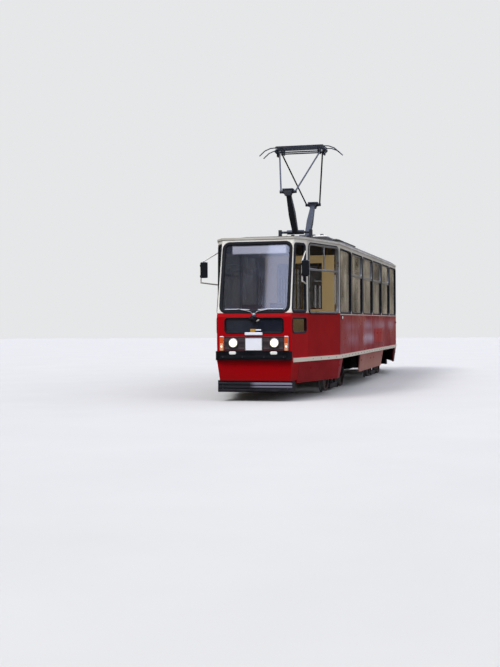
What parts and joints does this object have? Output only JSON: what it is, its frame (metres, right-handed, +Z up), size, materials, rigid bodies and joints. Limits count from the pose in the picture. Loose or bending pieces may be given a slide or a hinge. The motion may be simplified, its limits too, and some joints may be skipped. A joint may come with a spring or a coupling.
{
  "type": "tram",
  "caption": "Single-ended four-axle tram car with tapered ends, folding doors on one side, two bogies and a raised diamond pantograph.",
  "frame": {"origin": "centre of the bounding box's bottom, on the floor under the wheel flanges", "axes": "+X forward, +Y to the car's left, +Z up"},
  "size_m": [13.64, 2.428, 5.218],
  "materials": {
    "amber_plastic": "gloss",
    "bare_steel": "worn",
    "black_rubber": "matte",
    "cast_steel": "rusty",
    "cream_paint": "gloss",
    "dark_paint": "satin",
    "desk_plastic": "matte",
    "floor_sheet": "matte",
    "grey_paint": "satin",
    "lamp_glass": "gloss",
    "panel_board": "matte",
    "rail_paint": "gloss",
    "red_paint": "gloss",
    "seat_plastic": "satin",
    "white_board": "satin",
    "window_glass": "gloss"
  },
  "bodies": {
    "car_body": {"underframe": "dark_paint", "cross_members": "dark_paint", "floor": "floor_sheet", "door_steps": "bare_steel", "left_side_wall": "red_paint", "left_quarter_panels": "red_paint", "right_side_wall": "red_paint", "end_door_frames": "red_paint", "front_end": "red_paint", "rear_end": "red_paint", "roof": "cream_paint", "rub_strips": "cream_paint", "skirts": "red_paint", "end_aprons": "red_paint", "lifeguards": "black_rubber", "bumpers": "black_rubber", "lamp_panel": "grey_paint", "headlamps": "lamp_glass", "signal_lamps": "amber_plastic", "boards": "white_board", "end_windows": "window_glass", "side_windows": "window_glass", "seats": "seat_plastic", "control_desk": "desk_plastic", "cab_partition": "panel_board", "handrails": "rail_paint", "coupler_yoke": "cast_steel", "mirrors": "cream_paint", "roof_boxes": "cream_paint", "pantograph_base": "dark_paint", "equipment_boxes": "dark_paint"},
    "front_door_left_outer": {"front_door_left_outer": "red_paint"},
    "front_door_left_inner": {"front_door_left_inner": "red_paint"},
    "front_door_right_outer": {"front_door_right_outer": "red_paint"},
    "front_door_right_inner": {"front_door_right_inner": "red_paint"},
    "second_door_left_outer": {"second_door_left_outer": "red_paint"},
    "second_door_left_inner": {"second_door_left_inner": "red_paint"},
    "second_door_right_outer": {"second_door_right_outer": "red_paint"},
    "second_door_right_inner": {"second_door_right_inner": "red_paint"},
    "third_door_left_outer": {"third_door_left_outer": "red_paint"},
    "third_door_left_inner": {"third_door_left_inner": "red_paint"},
    "third_door_right_outer": {"third_door_right_outer": "red_paint"},
    "third_door_right_inner": {"third_door_right_inner": "red_paint"},
    "rear_door_left_outer": {"rear_door_left_outer": "red_paint"},
    "rear_door_left_inner": {"rear_door_left_inner": "red_paint"},
    "rear_door_right_outer": {"rear_door_right_outer": "red_paint"},
    "rear_door_right_inner": {"rear_door_right_inner": "red_paint"},
    "front_bogie": {"front_bogie_frame": "cast_steel", "front_motors": "cast_steel"},
    "wheelset_1": {"wheelset_1": "cast_steel"},
    "wheelset_2": {"wheelset_2": "cast_steel"},
    "rear_bogie": {"rear_bogie_frame": "cast_steel", "rear_motors": "cast_steel"},
    "wheelset_3": {"wheelset_3": "cast_steel"},
    "wheelset_4": {"wheelset_4": "cast_steel"},
    "front_lower_arm": {"front_lower_arm": "dark_paint"},
    "front_upper_arm": {"front_upper_arm": "dark_paint"},
    "rear_lower_arm": {"rear_lower_arm": "dark_paint"},
    "rear_upper_arm": {"rear_upper_arm": "dark_paint"},
    "pantograph_head": {"pantograph_head": "dark_paint"}
  },
  "joints": [
    {"name": "front_door_left_outer_hinge", "type": "hinge", "parent": "car_body", "child": "front_door_left_outer", "pos_m": [4.75288, -1.1271, 1.506], "axis": [0, 0, 1], "range_deg": [0, 85]},
    {"name": "front_door_left_inner_fold", "type": "hinge", "parent": "front_door_left_outer", "child": "front_door_left_inner", "pos_m": [5.04765, -1.09559, 1.506], "axis": [0, 0, -1], "range_deg": [0, 170]},
    {"name": "front_door_right_outer_hinge", "type": "hinge", "parent": "car_body", "child": "front_door_right_outer", "pos_m": [5.93351, -0.84439, 1.506], "axis": [0, 0, -1], "range_deg": [0, 85]},
    {"name": "front_door_right_inner_fold", "type": "hinge", "parent": "front_door_right_outer", "child": "front_door_right_inner", "pos_m": [5.65644, -0.94981, 1.506], "axis": [0, 0, 1], "range_deg": [0, 170]},
    {"name": "second_door_left_outer_hinge", "type": "hinge", "parent": "car_body", "child": "second_door_left_outer", "pos_m": [0.433, -1.16, 1.506], "axis": [0, 0, 1], "range_deg": [0, 85]},
    {"name": "second_door_left_inner_fold", "type": "hinge", "parent": "second_door_left_outer", "child": "second_door_left_inner", "pos_m": [0.727, -1.198, 1.506], "axis": [0, 0, -1], "range_deg": [0, 170]},
    {"name": "second_door_right_outer_hinge", "type": "hinge", "parent": "car_body", "child": "second_door_right_outer", "pos_m": [1.647, -1.16, 1.506], "axis": [0, 0, -1], "range_deg": [0, 85]},
    {"name": "second_door_right_inner_fold", "type": "hinge", "parent": "second_door_right_outer", "child": "second_door_right_inner", "pos_m": [1.353, -1.198, 1.506], "axis": [0, 0, 1], "range_deg": [0, 170]},
    {"name": "third_door_left_outer_hinge", "type": "hinge", "parent": "car_body", "child": "third_door_left_outer", "pos_m": [-1.647, -1.16, 1.506], "axis": [0, 0, 1], "range_deg": [0, 85]},
    {"name": "third_door_left_inner_fold", "type": "hinge", "parent": "third_door_left_outer", "child": "third_door_left_inner", "pos_m": [-1.353, -1.198, 1.506], "axis": [0, 0, -1], "range_deg": [0, 170]},
    {"name": "third_door_right_outer_hinge", "type": "hinge", "parent": "car_body", "child": "third_door_right_outer", "pos_m": [-0.433, -1.16, 1.506], "axis": [0, 0, -1], "range_deg": [0, 85]},
    {"name": "third_door_right_inner_fold", "type": "hinge", "parent": "third_door_right_outer", "child": "third_door_right_inner", "pos_m": [-0.727, -1.198, 1.506], "axis": [0, 0, 1], "range_deg": [0, 170]},
    {"name": "rear_door_left_outer_hinge", "type": "hinge", "parent": "car_body", "child": "rear_door_left_outer", "pos_m": [-5.93351, -0.84439, 1.506], "axis": [0, 0, 1], "range_deg": [0, 85]},
    {"name": "rear_door_left_inner_fold", "type": "hinge", "parent": "rear_door_left_outer", "child": "rear_door_left_inner", "pos_m": [-5.65644, -0.94981, 1.506], "axis": [0, 0, -1], "range_deg": [0, 170]},
    {"name": "rear_door_right_outer_hinge", "type": "hinge", "parent": "car_body", "child": "rear_door_right_outer", "pos_m": [-4.75288, -1.1271, 1.506], "axis": [0, 0, -1], "range_deg": [0, 85]},
    {"name": "rear_door_right_inner_fold", "type": "hinge", "parent": "rear_door_right_outer", "child": "rear_door_right_inner", "pos_m": [-5.04765, -1.09559, 1.506], "axis": [0, 0, 1], "range_deg": [0, 170]},
    {"name": "front_bogie_swivel", "type": "hinge", "parent": "car_body", "child": "front_bogie", "pos_m": [3, 0, 0.726], "axis": [0, 0, 1], "range_deg": [-8, 8]},
    {"name": "wheelset_1_spin", "type": "hinge", "parent": "front_bogie", "child": "wheelset_1", "pos_m": [3.95, 0, 0.353], "axis": [0, 1, 0], "continuous": true},
    {"name": "wheelset_2_spin", "type": "hinge", "parent": "front_bogie", "child": "wheelset_2", "pos_m": [2.05, 0, 0.353], "axis": [0, 1, 0], "continuous": true},
    {"name": "rear_bogie_swivel", "type": "hinge", "parent": "car_body", "child": "rear_bogie", "pos_m": [-3, 0, 0.726], "axis": [0, 0, 1], "range_deg": [-8, 8]},
    {"name": "wheelset_3_spin", "type": "hinge", "parent": "rear_bogie", "child": "wheelset_3", "pos_m": [-2.05, 0, 0.353], "axis": [0, 1, 0], "continuous": true},
    {"name": "wheelset_4_spin", "type": "hinge", "parent": "rear_bogie", "child": "wheelset_4", "pos_m": [-3.95, 0, 0.353], "axis": [0, 1, 0], "continuous": true},
    {"name": "pantograph_lift", "type": "hinge", "parent": "car_body", "child": "front_lower_arm", "pos_m": [3.08, 0, 3.326], "axis": [0, 1, 0], "range_deg": [-4, 46]},
    {"name": "front_knee", "type": "hinge", "parent": "front_lower_arm", "child": "front_upper_arm", "pos_m": [3.78, 0, 4.106], "axis": [0, -1, 0], "range_deg": [-7.04, 80.91]},
    {"name": "head_level", "type": "hinge", "parent": "front_upper_arm", "child": "pantograph_head", "pos_m": [2.56, 0, 5.106], "axis": [0, 1, 0], "range_deg": [-3.04, 34.91]},
    {"name": "rear_lower_lift", "type": "hinge", "parent": "car_body", "child": "rear_lower_arm", "pos_m": [1.8, 0, 3.326], "axis": [0, -1, 0], "range_deg": [-4, 46]},
    {"name": "rear_knee", "type": "hinge", "parent": "rear_lower_arm", "child": "rear_upper_arm", "pos_m": [1.1, 0, 4.106], "axis": [0, 1, 0], "range_deg": [-7.04, 80.91]}
  ],
  "couplings": [
    {"joint": "front_door_left_inner_fold", "follows": "front_door_left_outer_hinge", "ratio": 2},
    {"joint": "front_door_right_outer_hinge", "follows": "front_door_left_outer_hinge", "ratio": 1},
    {"joint": "front_door_right_inner_fold", "follows": "front_door_left_outer_hinge", "ratio": 2},
    {"joint": "second_door_left_inner_fold", "follows": "second_door_left_outer_hinge", "ratio": 2},
    {"joint": "second_door_right_outer_hinge", "follows": "second_door_left_outer_hinge", "ratio": 1},
    {"joint": "second_door_right_inner_fold", "follows": "second_door_left_outer_hinge", "ratio": 2},
    {"joint": "third_door_left_inner_fold", "follows": "third_door_left_outer_hinge", "ratio": 2},
    {"joint": "third_door_right_outer_hinge", "follows": "third_door_left_outer_hinge", "ratio": 1},
    {"joint": "third_door_right_inner_fold", "follows": "third_door_left_outer_hinge", "ratio": 2},
    {"joint": "rear_door_left_inner_fold", "follows": "rear_door_left_outer_hinge", "ratio": 2},
    {"joint": "rear_door_right_outer_hinge", "follows": "rear_door_left_outer_hinge", "ratio": 1},
    {"joint": "rear_door_right_inner_fold", "follows": "rear_door_left_outer_hinge", "ratio": 2},
    {"joint": "front_knee", "follows": "pantograph_lift", "ratio": 1.759},
    {"joint": "head_level", "follows": "pantograph_lift", "ratio": 0.759},
    {"joint": "rear_lower_lift", "follows": "pantograph_lift", "ratio": 1},
    {"joint": "rear_knee", "follows": "pantograph_lift", "ratio": 1.759}
  ]
}
